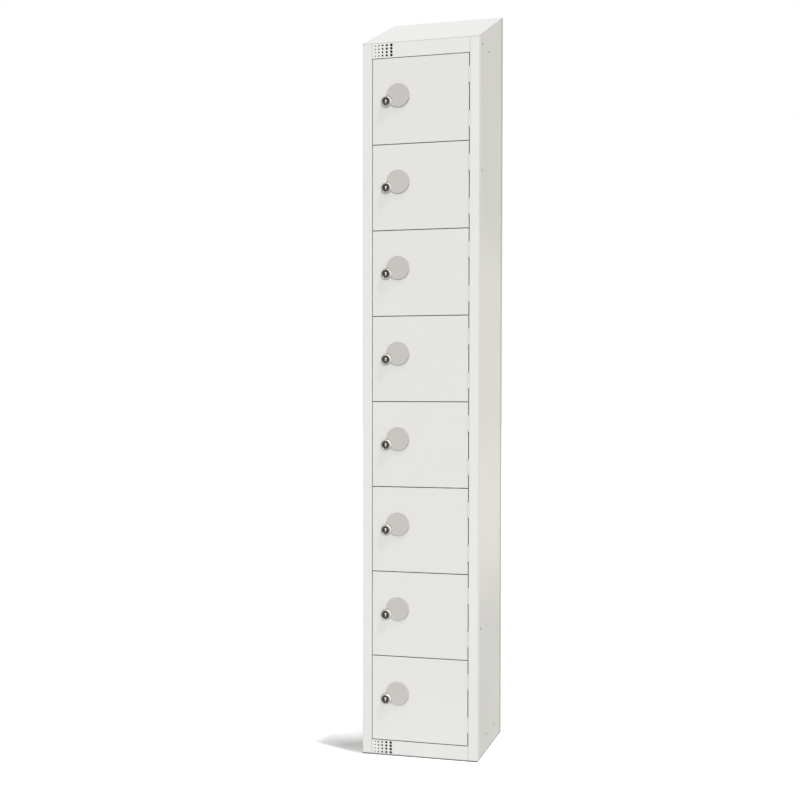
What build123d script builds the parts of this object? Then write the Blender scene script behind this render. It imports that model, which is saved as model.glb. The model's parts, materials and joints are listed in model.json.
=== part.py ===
from build123d import *
import math
import os

# A narrow sheet-steel locker: eight small doors one above another under a sloping top.
# All sizes are millimetres. The origin is on the floor under the middle of the body,
# X runs to the right, Y to the back and Z up. The doors face along -Y.

# Body, all of it folded from sheet
width = 300.0
depth = 300.0
front_height = 1800.0
slope_rise = 130.0
sheet = 0.8
post_width = 24.0
frame_depth = 19.0
stop_flange = 12.0
rear_flange = 15.0
foot_flange = 20.0
rail_height = 38.0
roof_flange = 33.0
base_flange = 15.0
shelf_height = 12.0
slope_flange = 10.0
seam_chamfer = 0.4

# Doors
door_count = 8
slit = 2.0
door_depth = 17.0
door_lip = 8.0
door_chamfer = 0.5
stiffener_width = 24.0
stiffener_foot = 8.0
stiffener_depth = 10.0
stiffener_play = 0.5

# Hinges: two to a door, a rolled knuckle on the door between the two ears of a leaf
hinge_length = 40.0
hinge_inset = 52.0
knuckle_radius = 2.0
ear_height = 1.8
leaf_sheet = 1.2
leaf_width = 15.0
pin_fit = 0.05
knuckle_gap = 0.3
notch_gap = 0.5

# Cam lock
lock_inset = 36.6
lock_drop = 1.5
bezel_radius = 14.5
face_radius = 12.0
bezel_height = 9.5
barrel_radius = 11.0
barrel_flat = 9.5
barrel_hole_gap = 0.15
plug_radius = 7.5
plug_fit = 0.05
plug_recess = 1.5
keyway_width = 1.8
keyway_height = 8.0
keyway_depth = 10.0
clip_sheet = 1.2
clip_groove = 0.8
clip_width = 28.0
clip_height = 26.0
cam_sheet = 2.0
cam_width = 15.0
cam_reach = 38.0
cam_clearance = 1.0
cam_play = 0.2
drive_size = 7.0
screw_radius = 2.5
screw_length = 8.0
screw_head_radius = 5.0
screw_head_sides = 6
screw_head_height = 3.0

# Round plate beside the lock
disc_radius = 30.0
disc_thickness = 3.0
disc_chamfer = 1.0
disc_right = 30.0
disc_up = 15.0
disc_notch_gap = 0.5
peg_size = 4.0
peg_spread = 14.0
peg_reach = 2.5
peg_gap = 0.1

# Vents: columns of round holes that grow to the right
vent_rows = 4
vent_columns = 5
vent_pitch = 8.4
vent_first = 2.2
vent_growth = 1.0
vent_web = 6.2
vent_inset = 9.1
footer_vent_lift = 1.6

# Rivets and holes
rivet_head_radius = 3.0
rivet_head_height = 0.9
rivet_radius = 1.6
rivet_tail = 1.2
roof_rivet_lift = 28.0
base_rivet_lift = 7.0
roof_rivet_places = (-113.0, -33.0)
base_rivet_places = (-46.0, 54.0)
nesting_hole_radius = 3.5
nesting_hole_y = -115.0
nesting_hole_heights = (330.0, 1477.0)
wall_hole_radius = 4.0
wall_hole_x = 100.0
wall_hole_height = 1700.0

# Sides of the rounds that repeat, by how large they are
plate_sides = 24
bezel_sides = 20
middle_sides = 10
small_sides = 8

# Places that follow from the sizes above
side_x = width / 2
inner_x = side_x - sheet
front_y = -depth / 2
back_y = depth / 2
back_panel_y = back_y - 2 * sheet
post_x = side_x - post_width
door_x = post_x - slit
stop_y = front_y + frame_depth
shelf_y = stop_y + sheet
header_z = front_height - rail_height
door_height = (front_height - 2 * rail_height - (door_count + 1) * slit) / door_count
door_pitch = door_height + slit
slope_angle = math.atan2(slope_rise, depth)
slope_drop = sheet / math.cos(slope_angle)

hinge_x = post_x - slit / 2
bore_radius = knuckle_radius - sheet
pin_radius = bore_radius - pin_fit
half_knuckle = hinge_length / 2 - ear_height - knuckle_gap

lock_x = lock_inset - door_x
plug_bore = plug_radius + plug_fit
cam_front = -(frame_depth + sheet + cam_clearance)
cam_back = cam_front - cam_sheet
barrel_end = cam_front + cam_play
roof_rivet_z = header_z + roof_rivet_lift
base_rivet_z = rail_height + base_rivet_lift


def block(low, high):
    """A box between its lowest and highest corners."""
    size = [b - a for a, b in zip(low, high)]
    middle = [(a + b) / 2 for a, b in zip(low, high)]
    return Pos(*middle) * Box(*size)


def folded(points, thickness, length, side=Side.LEFT):
    """A sheet bent along the points of one of its faces, seen from the end, and run along the fold."""
    outline = offset(Polyline(*points), thickness, kind=Kind.INTERSECTION, side=side)
    return extrude(make_face(outline), length)


def along_y(shape, y):
    """Turns a shape drawn in X and Z, and run along its own Z, to lie from y towards the back."""
    return Pos(0, y, 0) * Rot(90, 0, 0) * mirror(shape, Plane.XY)


def slope_z(y):
    """Height of the sloping top's upper face."""
    return front_height + (y - front_y) * slope_rise / depth


def above_slope(drop, half_width):
    """Everything more than a drop below the sloping top's upper face, up to well over it."""
    front, back = front_y - slit, back_y + slit
    sky = slope_z(back) + slope_rise
    corners = [(front, slope_z(front) - drop), (back, slope_z(back) - drop), (back, sky), (front, sky)]
    profile = make_face(Polyline(*corners, close=True))
    return Plane.YZ.offset(-half_width) * extrude(profile, 2 * half_width)


def doors():
    """Number, bottom and middle height of each door, from the top one down."""
    for number in range(1, door_count + 1):
        bottom = header_z - number * door_pitch
        yield number, bottom, bottom + door_height / 2


def hinges(bottom):
    """Middle height of the upper and of the lower hinge of one door."""
    return bottom + door_height - hinge_inset, bottom + hinge_inset


def ears(middle):
    """Lowest and highest point of each ear of a hinge."""
    half = hinge_length / 2
    return (middle - half, middle - half + ear_height), (middle + half - ear_height, middle + half)


def rounded(radius, sides):
    """A repeated round, with the corners of its flat sides on the true circle."""
    return RegularPolygon(radius, sides)


def rounded_hole(radius, sides):
    """The same for a running hole, with its flat sides clear of the true circle."""
    return RegularPolygon(radius, sides, major_radius=False)


def on_hinge(outline, low, high):
    """A section run along the hinge line between two heights."""
    return Pos(hinge_x, front_y, low) * extrude(outline, high - low)


def through_wall(y, z):
    """Frame on the outside of the right-hand wall, with Z outwards."""
    return Pos(side_x, y, z) * Rot(0, 90, 0)


# Body

def side_wall():
    """Right outer wall, cut to the slope at the top."""
    wall = block((inner_x, front_y, 0), (side_x, back_y, slope_z(back_y)))
    wall -= above_slope(0, side_x + slit)
    for height in nesting_hole_heights:
        wall -= through_wall(nesting_hole_y, height) * extrude(Circle(nesting_hole_radius), -sheet)
    for y, z in rivet_places():
        wall -= through_wall(y, z) * extrude(rounded(rivet_radius, small_sides), -sheet)
    return wall


def front_post():
    """Right front post, from one sheet: a flange on the wall, the face, the jamb and the doors' stop."""
    path = [
        (inner_x, shelf_y),
        (inner_x, front_y),
        (post_x, front_y),
        (post_x, stop_y),
        (post_x - stop_flange, stop_y),
    ]
    post = folded(path, sheet, slope_z(shelf_y), Side.RIGHT) - above_slope(slope_drop, side_x)
    sky = front_height + slope_rise
    weld_top = front_height - slope_flange - slit
    post -= block((inner_x - sheet, front_y + sheet, weld_top), (inner_x, shelf_y, sky))
    flange_edge = post_x - stop_flange - slit
    post -= block((flange_edge, stop_y, 0), (post_x, shelf_y, rail_height))
    return post - block((flange_edge, stop_y, header_z), (post_x, shelf_y, sky))


def wall_flanges():
    """Strips along the right wall: behind the back panel, and along the floor."""
    rear = block((side_x - rear_flange, back_y - sheet, 0), (inner_x, back_y, slope_z(back_y)))
    foot_front, foot_back = shelf_y + slit, back_panel_y - slit
    foot = block((side_x - foot_flange, foot_front, 0), (inner_x, foot_back, sheet))
    return rear - above_slope(slope_drop, side_x), foot


def hinge_notches():
    """Room in the right-hand post for the knuckles."""
    edge = hinge_x + knuckle_radius + notch_gap
    deep = front_y + knuckle_radius + notch_gap
    reach = hinge_length / 2 + knuckle_gap
    return [block((hinge_x, front_y, z - reach), (edge, deep, z + reach)) for z in hinge_heights]


def rivet_places():
    """Where rivets pass through a side wall, as Y and Z."""
    yield from ((y, roof_rivet_z) for y in roof_rivet_places)
    yield from ((y, base_rivet_z) for y in base_rivet_places)


def rivet_holes(panel):
    """Cuts the rivet holes through the flanges of a panel, at both sides."""
    for y, z in rivet_places():
        panel -= through_wall(y, z) * extrude(rounded(rivet_radius, small_sides), -width)
    return panel


def tray(plate_z, flange):
    """A floor plate with a fold up each side wall."""
    edge_z = plate_z + flange
    path = [(-inner_x, edge_z), (-inner_x, plate_z), (inner_x, plate_z), (inner_x, edge_z)]
    return along_y(folded(path, sheet, back_panel_y - shelf_y), shelf_y)


def roof_panel():
    """Ceiling of the top compartment, folded up at the sides and behind the header rail."""
    front = block((-inner_x, shelf_y, header_z), (inner_x, shelf_y + sheet, header_z + roof_flange))
    return rivet_holes(tray(header_z, roof_flange) + front)


def base_panel():
    """Floor of the bottom compartment, folded up at the sides and down behind the footer rail."""
    plate_z = rail_height - sheet
    front = block((-inner_x, shelf_y, plate_z - base_flange), (inner_x, shelf_y + sheet, rail_height))
    return rivet_holes(tray(plate_z, base_flange + sheet) + front)


def shelf(middle):
    """A shelf folded down on all four sides, centred behind the gap between two doors."""
    body = block(
        (-inner_x, shelf_y, middle - shelf_height / 2), (inner_x, back_panel_y, middle + shelf_height / 2)
    )
    return offset(body, -sheet, openings=body.faces().sort_by(Axis.Z)[0], kind=Kind.INTERSECTION)


def back_panel():
    """Flat back between the side walls, with two holes for fixing to a building."""
    panel = block((-inner_x, back_panel_y, 0), (inner_x, back_y - sheet, slope_z(back_y)))
    panel -= above_slope(slope_drop, side_x)
    for x in (-wall_hole_x, wall_hole_x):
        hole = Rot(90, 0, 0) * Cylinder(wall_hole_radius, sheet)
        panel -= Pos(x, back_panel_y + sheet / 2, wall_hole_height) * hole
    return panel


def sloping_top():
    """Cover plate between the side walls, flush with their edges and folded down along them."""
    ends = [(front_y, 0), (back_y, 0), (back_y, slope_drop), (front_y, slope_drop)]
    plate = make_face(Polyline(*[(y, slope_z(y) - drop) for y, drop in ends], close=True))
    top = Plane.YZ.offset(-inner_x) * extrude(plate, 2 * inner_x)
    front, back = front_y + sheet + slit, back_panel_y - slit
    low = slope_drop + slope_flange
    ends = [(front, slope_drop), (back, slope_drop), (back, low), (front, low)]
    flange = make_face(Polyline(*[(y, slope_z(y) - drop) for y, drop in ends], close=True))
    for x in (-inner_x, inner_x - sheet):
        top += Plane.YZ.offset(x) * extrude(flange, sheet)
    return top


def vents(middle_z):
    """Round holes in rows, each column larger than the one on its left."""
    holes = []
    x = vent_inset - post_x
    for column in range(vent_columns):
        radius = (vent_first + column * vent_growth) / 2
        for row in range(vent_rows):
            z = middle_z + (row - (vent_rows - 1) / 2) * vent_pitch
            hole = extrude(rounded(radius, small_sides), -sheet)
            holes.append(Pos(x, front_y, z) * Rot(90, 0, 0) * hole)
        x += 2 * radius + vent_growth / 2 + vent_web
    return holes


def rail(low, high, vent_z):
    """A channel open at the back that closes the front between the posts."""
    body = block((-post_x, front_y, low), (post_x, shelf_y, high))
    body = offset(body, -sheet, openings=body.faces().sort_by(Axis.Y)[-1], kind=Kind.INTERSECTION)
    seams = body.edges().filter_by(Axis.Z).filter_by_position(Axis.Y, front_y, front_y)
    return chamfer(seams, seam_chamfer) - vents(vent_z)


def rivet(y, z, side):
    """A rivet with its head outside the right-hand wall (side 1) or the left-hand one (side -1)."""
    head = extrude(rounded(rivet_head_radius, small_sides), rivet_head_height)
    shank = extrude(rounded(rivet_radius, small_sides), -2 * sheet - rivet_tail)
    right = through_wall(y, z) * (head + shank)
    return right if side > 0 else mirror(right, Plane.YZ)


# Hinges

def hinge_leaf(middle):
    """A leaf inside the post with two ears round the pin, clear of the door's knuckle between them."""
    inside, skin = post_x + sheet, front_y + sheet
    leaf = block(
        (inside, skin, middle - hinge_length / 2),
        (inside + leaf_sheet, front_y + leaf_width, middle + hinge_length / 2),
    )
    for low, high in ears(middle):
        leaf += block((hinge_x, skin, low), (inside, skin + leaf_sheet, high))
        leaf += on_hinge(rounded(knuckle_radius, small_sides), low, high)
        leaf -= on_hinge(rounded(pin_radius, small_sides), low, high)
    reach = knuckle_radius + knuckle_gap
    half = half_knuckle + knuckle_gap
    return leaf - block((inside, skin, middle - half), (hinge_x + reach, skin + leaf_sheet, middle + half))


def hinge_pin(middle):
    """A pin pressed into both ears, with the door's knuckle running on it."""
    outline = rounded(pin_radius, small_sides)
    return on_hinge(outline, middle - hinge_length / 2, middle + hinge_length / 2)


# Doors

def barrel_outline(gap):
    """The lock barrel's section: a round with a flat at each side."""
    outline = rounded(barrel_radius + gap, middle_sides)
    return outline & Rectangle(2 * (barrel_flat + gap), 2 * (barrel_radius + gap))


def lock_place(middle):
    """Frame at the lock: Z forward out of the door's face, X to the right, Y up."""
    return Plane((lock_x, front_y, middle - lock_drop), x_dir=(1, 0, 0), z_dir=(0, -1, 0))


def peg_places():
    """Middles of the pegs behind the round plate, in the lock's frame."""
    return [(disc_right, disc_up - peg_spread), (disc_right, disc_up + peg_spread)]


def door_pan(bottom, middle):
    """Door folded back on four sides and in again, with its two rolled knuckles."""
    top = bottom + door_height
    rear = front_y + door_depth
    pan = block((-door_x, front_y, bottom), (door_x, rear, top))
    pan = chamfer(pan.faces().sort_by(Axis.Y)[0].edges(), door_chamfer)
    skin, inside = front_y + sheet, door_x - sheet
    pan -= block((-inside, skin, bottom + sheet), (inside, rear - sheet, top - sheet))
    lip = sheet + door_lip
    pan -= block((lip - door_x, skin, bottom + lip), (door_x - lip, rear, top - lip))
    edge = hinge_x - knuckle_radius - notch_gap
    deep = front_y + knuckle_radius + notch_gap
    for z in hinges(bottom):
        low, high = z - half_knuckle, z + half_knuckle
        pan += on_hinge(rounded(knuckle_radius, small_sides), low, high)
        pan -= on_hinge(rounded_hole(bore_radius, small_sides), low, high)
        for low, high in ears(z):
            pan -= block((edge, front_y, low - knuckle_gap), (door_x, deep, high + knuckle_gap))
    cut = Pos(0, 0, -sheet) * extrude(barrel_outline(barrel_hole_gap), sheet)
    for x, y in peg_places():
        cut += Pos(x, y, -sheet / 2) * Box(peg_size + 2 * peg_gap, peg_size + 2 * peg_gap, sheet)
    return pan - lock_place(middle) * cut


def stiffener(bottom):
    """A top-hat channel up the middle of the door, against the back of its face."""
    skin = front_y + sheet
    crown = skin + stiffener_depth - sheet
    half = stiffener_width / 2
    path = [
        (-half - stiffener_foot, skin),
        (-half, skin),
        (-half, crown),
        (half, crown),
        (half, skin),
        (half + stiffener_foot, skin),
    ]
    margin = sheet + stiffener_play
    return Pos(0, 0, bottom + margin) * folded(path, sheet, door_height - 2 * margin)


def disc(middle):
    """Round plate with a bevelled edge, cut away round the lock, on two pegs through the door."""
    plate = Pos(disc_right, disc_up, 0) * extrude(rounded(disc_radius, plate_sides), disc_thickness)
    plate -= extrude(rounded_hole(bezel_radius + disc_notch_gap, bezel_sides), disc_thickness)
    plate = chamfer(plate.faces().sort_by(Axis.Z)[-1].edges(), disc_chamfer)
    length = sheet + peg_reach
    for x, y in peg_places():
        plate += Pos(x, y, -length / 2) * Box(peg_size, peg_size, length)
    return lock_place(middle) * plate


def lock_barrel(middle):
    """Tapered bezel on a flat-sided barrel, bored for the plug and grooved for the clip."""
    narrowing = (bezel_radius - face_radius) * math.cos(math.pi / bezel_sides)
    taper = math.degrees(math.atan2(narrowing, bezel_height))
    bezel = extrude(rounded(bezel_radius, bezel_sides), bezel_height, taper=taper)
    body = Pos(0, 0, barrel_end) * extrude(barrel_outline(0), -barrel_end)
    barrel = bezel + body
    for side in (-1, 1):
        slot = Pos(side * barrel_flat, 0, -sheet - clip_sheet / 2)
        barrel -= slot * Box(2 * clip_groove, 2 * barrel_radius, clip_sheet)
    bore = extrude(rounded_hole(plug_bore, middle_sides), bezel_height - barrel_end)
    return lock_place(middle) * (barrel - Pos(0, 0, barrel_end) * bore)


def lock_clip(middle):
    """A spring clip slid up into the barrel's grooves, against the back of the door's face."""
    low = -clip_height / 2
    plate = block((-clip_width / 2, low, -sheet - clip_sheet), (clip_width / 2, -low, -sheet))
    half = barrel_flat - clip_groove
    top = barrel_radius + barrel_hole_gap
    return lock_place(middle) * (plate - block((-half, low, -sheet - clip_sheet), (half, top, -sheet)))


def lock_plug(middle):
    """The turning part of the lock: a keyway in front, a square and a threaded hole behind."""
    face = bezel_height - plug_recess
    plug = Pos(0, 0, cam_front) * extrude(rounded(plug_radius, middle_sides), face - cam_front)
    plug += Pos(0, 0, cam_back) * extrude(Rectangle(drive_size, drive_size), cam_sheet)
    plug -= Pos(0, 0, face - keyway_depth) * extrude(Rectangle(keyway_width, keyway_height), keyway_depth)
    plug -= Pos(0, 0, cam_back) * extrude(rounded(screw_radius, small_sides), screw_length)
    return lock_place(middle) * plug


def lock_cam(middle):
    """A flat cam on the plug's square, hanging down when the door is unlocked."""
    run = cam_reach - cam_width / 2
    end = rounded(cam_width / 2, middle_sides)
    outline = end + Pos(0, -run) * end + Pos(0, -run / 2) * Rectangle(cam_width, run)
    outline -= Rectangle(drive_size, drive_size)
    return lock_place(middle) * Pos(0, 0, cam_back) * extrude(outline, cam_sheet)


def cam_screw(middle):
    """Hexagon-headed screw that holds the cam on the plug."""
    head = extrude(rounded(screw_head_radius, screw_head_sides), -screw_head_height)
    shank = extrude(rounded(screw_radius, small_sides), screw_length)
    return lock_place(middle) * Pos(0, 0, cam_back) * (head + shank)


def write(name, *pieces):
    """Writes one node, a single solid or a group of separate ones."""
    shape = pieces[0] if len(pieces) == 1 else Compound(children=list(pieces))
    shape.label = name
    export_step(shape, os.path.join("parts", name + ".step"))


os.makedirs("parts", exist_ok=True)
hinge_heights = [z for _, bottom, _ in doors() for z in hinges(bottom)]

wall, post, flanges = side_wall(), front_post(), wall_flanges()
write("side_panel_left", *[mirror(piece, Plane.YZ) for piece in (wall, post, *flanges)])
write("side_panel_right", wall, post - hinge_notches(), *flanges)
write("back_panel", back_panel())
write("base_panel", base_panel())
write("roof_panel", roof_panel())
write("sloping_top", sloping_top())
rail_top = slope_z(front_y) - slope_drop
write("header_rail", rail(header_z, rail_top, (header_z + rail_top) / 2))
write("footer_rail", rail(0, rail_height, rail_height / 2 + footer_vent_lift))
shelf_heights = [bottom - slit / 2 for number, bottom, _ in doors() if number < door_count]
write("shelves", *[shelf(z) for z in shelf_heights])
write("carcass_rivets", *[rivet(y, z, side) for side in (-1, 1) for y, z in rivet_places()])
write("hinge_leaves", *[hinge_leaf(z) for z in hinge_heights])
write("hinge_pins", *[hinge_pin(z) for z in hinge_heights])

for number, bottom, middle in doors():
    door = f"door_{number}_"
    write(door + "pan", door_pan(bottom, middle))
    write(door + "stiffener", stiffener(bottom))
    write(door + "disc", disc(middle))
    write(door + "lock_barrel", lock_barrel(middle), lock_clip(middle))
    write(door + "lock_plug", lock_plug(middle))
    write(door + "lock_cam", lock_cam(middle), cam_screw(middle))
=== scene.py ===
import json
import math

import bmesh
import bpy
from mathutils import Matrix, Vector


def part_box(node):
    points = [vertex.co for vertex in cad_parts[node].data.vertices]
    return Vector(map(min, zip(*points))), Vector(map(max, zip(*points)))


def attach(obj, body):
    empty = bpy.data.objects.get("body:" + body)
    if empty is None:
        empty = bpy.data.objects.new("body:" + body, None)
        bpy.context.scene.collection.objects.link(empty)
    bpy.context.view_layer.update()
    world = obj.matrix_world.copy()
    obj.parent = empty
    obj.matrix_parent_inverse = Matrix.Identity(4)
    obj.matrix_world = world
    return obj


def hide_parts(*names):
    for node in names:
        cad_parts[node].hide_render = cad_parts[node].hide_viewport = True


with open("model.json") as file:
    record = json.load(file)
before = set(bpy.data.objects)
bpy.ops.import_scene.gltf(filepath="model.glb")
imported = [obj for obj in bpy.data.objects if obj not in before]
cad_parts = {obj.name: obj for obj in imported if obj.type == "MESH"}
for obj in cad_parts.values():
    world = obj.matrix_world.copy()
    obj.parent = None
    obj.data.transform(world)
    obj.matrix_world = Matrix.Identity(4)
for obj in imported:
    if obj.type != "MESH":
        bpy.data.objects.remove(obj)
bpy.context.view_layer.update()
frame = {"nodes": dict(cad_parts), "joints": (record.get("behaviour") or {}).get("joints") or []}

bl_info = {
    "name": "Sheet-steel Locker Dressing",
    "version": (1, 0, 0),
    "blender": (4, 5, 0),
    "location": "View3D > Sidebar > Locker",
    "description": "Dresses the packed locker with its looks and sets up the studio",
    "category": "Object",
}

MM = 0.001
DOORS = 8
SLIVER = 0.002
FLAT_ANGLE = 1.0
EDGE_ANGLE = 35.0
CREASE_ANGLE = 40.0

# Stands a plan in X and Y up, so that its height points out of the front
UPRIGHT = Matrix(((1, 0, 0, 0), (0, 0, -1, 0), (0, 1, 0, 0), (0, 0, 0, 1)))

# Lengths are in millimetres. The lock's frame has X to the right, Y up and Z out of the door.
SHEET = 0.8
PLUG_RADIUS = 7.5
PLUG_FACE = 8.0
KEYWAY_FLOOR = 6.8
KEYWAY_LEDGE = 7.2
KEYWAY_MOUTH = ((1.1, -4.6), (1.3, -1.2), (2.1, 1.6), (2.1, 3.6), (1.5, 4.2))
KEYWAY_SLOT = (-0.45, -3.2, 0.45, 2.6)
BARREL_RADIUS = 11.0
BARREL_FLAT = 9.5
BARREL_END = -20.6
BARREL_FIT = 0.15
THREAD_PITCH = 1.0
THREAD_DEPTH = 0.55
THREAD_END = 1.2
CLIP_SHEET = 1.2
CLIP_BITE = 0.8
CLIP_X = 14.0
CLIP_Y = 13.0
CLIP_MOUTH = 11.0
CLIP_BEND = -4.3
CAM_FRONT = -20.8
CAM_BACK = -22.8
CAM_RADIUS = 7.5
CAM_REACH = 38.0
DRIVE_HALF = 3.5

# Bezel and barrel: radius, height and the finish of the ring that follows
# The flank's finish is a bright non-metallic coat with a painted highlight towards the upper right
# and painted shade elsewhere
PLATED, BLACK, LIT_FLANK = range(3)
BEZEL = (
    (7.6, BARREL_END, BLACK), (7.6, 8.4, BLACK), (7.7, 8.75, BLACK), (9.3, 8.75, BLACK),
    (9.6, 9.0, PLATED), (9.85, 9.35, PLATED), (10.2, 9.5, PLATED), (11.2, 9.5, PLATED),
    (11.6, 9.4, PLATED), (11.95, 9.1, PLATED), (12.15, 8.7, LIT_FLANK), (14.25, 0.9, LIT_FLANK),
    (14.5, 0.5, LIT_FLANK), (14.5, 0.0, LIT_FLANK), (BARREL_RADIUS, 0.0, PLATED),
)

# Cam screw: radius, sides, start and end of each length, from the cam's back
SCREW = ((5.0, 6, -2.4, 0.0), (4.1, 32, -3.0, -2.4), (2.5, 24, 0.0, 8.0))

# Round plate and its two square pegs
DISC_RADIUS = 30.0
DISC_THICKNESS = 3.0
DISC_PLACE = (30.0, 15.0)
DISC_NOTCH = 15.0
DISC_ROUND = 0.9
PEG_X = 30.0
PEG_HEIGHTS = (1.0, 29.0)
PEG_HALF = 2.0
PEG_FIT = 0.1
PEG_REACH = 2.5

# Hinges
HINGE_X = 125.0
HINGE_Y = -150.0
HINGE_LINE = Matrix.Translation((HINGE_X, HINGE_Y, 0.0))
KNUCKLE_RADIUS = 2.0
BORE_RADIUS = 1.2
PIN_RADIUS = 1.15
HINGE_LENGTH = 40.0
HINGE_INSET = 52.0
EAR_HEIGHT = 1.8
KNUCKLE_GAP = 0.3
NOTCH_GAP = 0.5
LEAF_SHEET = 1.2
LEAF_WIDTH = 15.0

# Folded sheet
FOLD_RADIUS = 1.5
SIDE_X = 150.0
FRONT_Y = -150.0
BACK_Y = 150.0
POST_X = 126.0
STOP_Y = -131.0
STOP_FLANGE = 12.0
REAR_FLANGE = 15.0
FOOT_FLANGE = 20.0
FOOT_INSET = 3.0
RAIL_HEIGHT = 38.0
RAIL_DEPTH = 19.8
FRONT_HEIGHT = 1800.0
SLOPE = 130.0 / 300.0
SLOPE_DROP = 0.872
DOOR_X = 124.0
DOOR_REAR = -133.0
DOOR_LIP = 8.8
DOOR_FOLD = 1.1
NESTING_HOLES = ((-115.0, 330.0), (-115.0, 1477.0))
NESTING_RADIUS = 3.5

# Vents: each column's place and its holes' radius
VENT_ROWS = 4
VENT_PITCH = 8.4
VENT_MIDDLE = -97.0
VENT_MOUTH = 0.3
VENT_COLUMNS = ((-116.9, 1.1), (-108.0, 1.6), (-98.1, 2.1), (-87.2, 2.6), (-75.3, 3.1))
FOOTER_VENT_LIFT = 1.6

# Rivets: where they sit on the side walls, and radius and height along the shank and its closed end
RIVET_PLACES = ((-113.0, 1790.0), (-33.0, 1790.0), (-46.0, 45.0), (54.0, 45.0))
RIVET_RADIUS = 3.0
RIVET_RIM = 0.15
RIVET_DOME = 0.75
RIVET_SHANK = (
    (3.0, 0.0), (1.6, 0.0), (1.6, -1.6), (2.1, -1.9), (2.1, -2.5), (1.7, -2.8), (0.0, -2.8),
)

# How much painted shade darkens the carcass at each place where shade falls, and the colours that
# do it
SHADES = {
    "foot": 0.8, "rear": 0.42, "fold": 0.12, "sides": 0.05, "side_ends": 0.13, "side_foot": 0.135,
    "crown": 0.10, "base": 0.05, "hollow": 0.98, "seam": 0.12, "brow": 0.30, "gap": 0.30,
}
# Near black that the carcass's painted shade blends towards
PAINTED_SHADE_BLACK = (0.006, 0.006, 0.0055, 1.0)
# Warm tint on the side walls: painted bounce light
PAINTED_BOUNCE_WARMTH = (1.0, 0.99, 0.945, 1.0)
# Lock bezel's flank: the colour of its painted shade, and the direction it faces where its painted
# highlight stays
FLANK_PAINTED_SHADE = (0.02, 0.02, 0.018, 1.0)
FLANK_HIGHLIGHT_SIDE = (0.90, 0.0, 0.44)
TARNISH_TINT = (0.72, 0.70, 0.66, 1.0)
RIVET_COLOUR = (0.13, 0.13, 0.12)
KEYWAY_COLOUR = (0.93, 0.92, 0.89)
# How dark the door's returns are drawn: painted shade in the gaps round each door
GAP_SHADE_TONE = 0.62
# How dark the plate's downward-facing rim is drawn: painted shade under the plate
UNDERSIDE_SHADE_TONE = 0.35

# Camera: place in metres, yaw, pitch and roll in degrees, and the picture's shift
CAMERA_PLACE = (0.8077, -3.1757, 0.9239)
CAMERA_TURN = (15.346, -1.602, 0.0735)
CAMERA_SHIFT = (-0.0139, 0.0339)
SENSOR_WIDTH = 36.0

# Lamps: the direction in which each stands, and how many degrees wide it looks
LAMPS = (("front_light", (0.30, -0.88, 0.37), 24.0), ("high_light", (0.305, -0.154, 0.94), 14.0))
LAMP_DISTANCE = 5.0

# Floor: its rings in metres, its two greys, and the part under the locker
FLOOR_RINGS = (0.0, 0.25, 0.5, 0.8, 1.2, 2.0, 3.5, 6.0, 12.0, 30.0)
FLOOR_GREYS = (0.73, 0.75)
FLOOR_GLOW = 0.62
FOOTPRINT = (144.0, 148.0)

# Floor shadow, seen from the left front foot, shaped by a painted glow that fades in along each
# direction: the direction of each fade, its start and its end
SHADOW_FADES = (
    ((-0.264, 0.964), 40.0, 230.0),
    ((-0.894, 0.449), 120.0, 210.0),
    ((-0.449, -0.894), -2.0, 24.0),
    ((1.0, 0.0), -110.0, 170.0),
    ((0.0, -1.0), 4.0, 30.0),
)


# Settings

def colour_setting(name, description, default):
    """A colour in the panel."""
    return bpy.props.FloatVectorProperty(
        name=name, description=description, default=default, subtype="COLOR", size=3,
        min=0.0, max=1.0,
    )


class LockerPaint(bpy.types.PropertyGroup):
    """Powder coat and plate colours"""

    body_colour: colour_setting(
        "Body Colour", "Powder coat of the posts, rails, sides and sloping top",
        (0.80, 0.795, 0.775),
    )
    door_colour: colour_setting("Door Colour", "Powder coat of the doors", (0.775, 0.768, 0.738))
    disc_colour: colour_setting(
        "Plate Colour", "Plastic of the round plates", (0.555, 0.538, 0.510)
    )
    gloss: bpy.props.FloatProperty(
        name="Paint Roughness", description="Mean roughness of the powder coat",
        subtype="FACTOR", min=0.0, max=1.0, default=0.42,
    )


class LockerLock(bpy.types.PropertyGroup):
    """Finish of the cam locks"""

    chrome_colour: colour_setting(
        "Chrome Colour", "Plating of the bezel and the barrel", (0.34, 0.34, 0.32)
    )
    # Bright flank colour that makes the painted highlight where the flank faces the upper right
    rim_colour: colour_setting(
        "Rim Colour", "Satin finish of the bezel's sloping flank", (0.86, 0.86, 0.80)
    )
    face_colour: colour_setting(
        "Plug Face Colour", "Blackened face of the plug and of the ring round it",
        (0.030, 0.029, 0.025),
    )
    zinc_colour: colour_setting(
        "Zinc Colour", "Plating of the cams, screws, clips and pins", (0.62, 0.62, 0.60)
    )


class LockerStudio(bpy.types.PropertyGroup):
    """Camera and lamps"""

    ambient: bpy.props.FloatProperty(
        name="Ambient Light", description="Strength of the even light from all round",
        min=0.0, max=4.0, default=0.49,
    )
    front_light: bpy.props.FloatProperty(
        name="Front Light",
        description="Strength of the broad light in front, a little to the right",
        min=0.0, default=1.14,
    )
    high_light: bpy.props.FloatProperty(
        name="High Light",
        description="Strength of the light high at the right, which casts the floor shadow",
        min=0.0, default=1.27,
    )
    lens: bpy.props.FloatProperty(
        name="Lens", description="Focal length on a sensor 36 mm wide",
        subtype="DISTANCE_CAMERA", unit="CAMERA", min=1.0, default=56.178,
    )


def configured(item, **settings):
    """Sets an item's properties and returns it."""
    for name, value in settings.items():
        setattr(item, name, value)
    return item


# Mesh helpers

def flattened(points, flat):
    """Points brought to within a distance from the middle in X."""
    return [(max(-flat, min(flat, x)), y) for x, y in points]


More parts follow.
